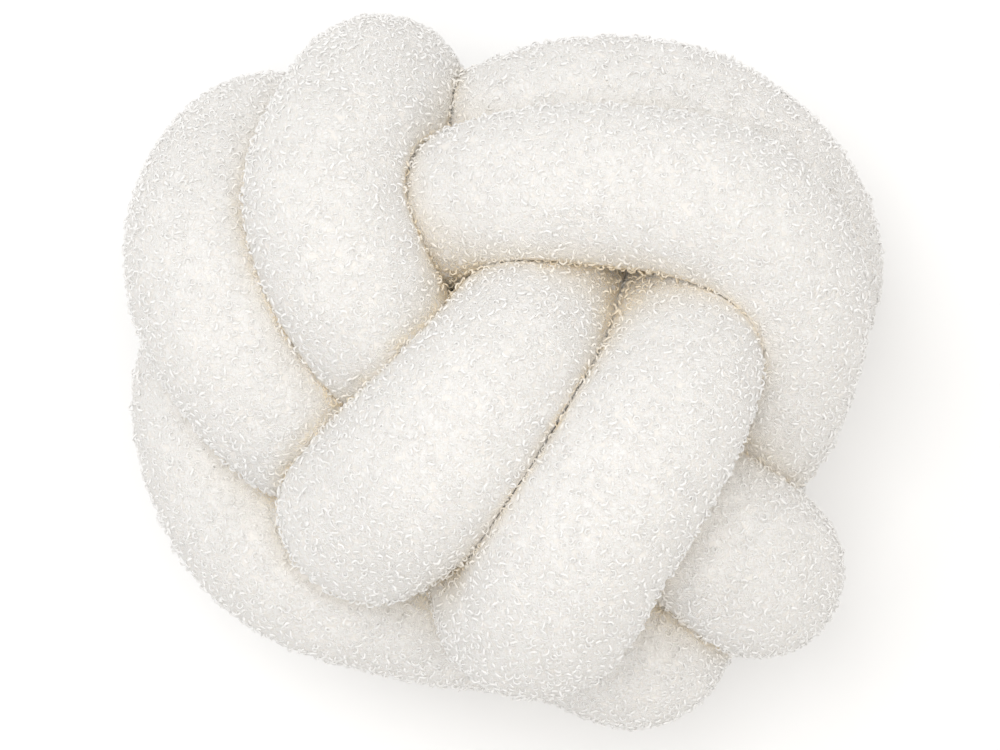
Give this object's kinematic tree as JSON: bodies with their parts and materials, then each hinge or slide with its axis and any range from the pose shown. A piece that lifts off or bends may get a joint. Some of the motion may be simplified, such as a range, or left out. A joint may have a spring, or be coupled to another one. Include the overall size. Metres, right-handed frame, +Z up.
{
  "type": "knot cushion",
  "caption": "Ball-shaped cushion of a long stuffed tube of curly looped-pile cloth, wound and tucked into a tight knot.",
  "frame": {"origin": "middle of the cushion's underside: the middle of its box in X and Y, on the surface it lies on", "axes": "+X to the right of its face and +Y up its face as the picture shows it, +Z up, out of the face"},
  "size_m": [0.2942, 0.2794, 0.2627],
  "materials": {
    "looped_cloth": "cream-white looped pile of small tight curls, matt"
  },
  "bodies": {
    "root": {"stuffed_tube": "looped_cloth"}
  },
  "joints": []
}
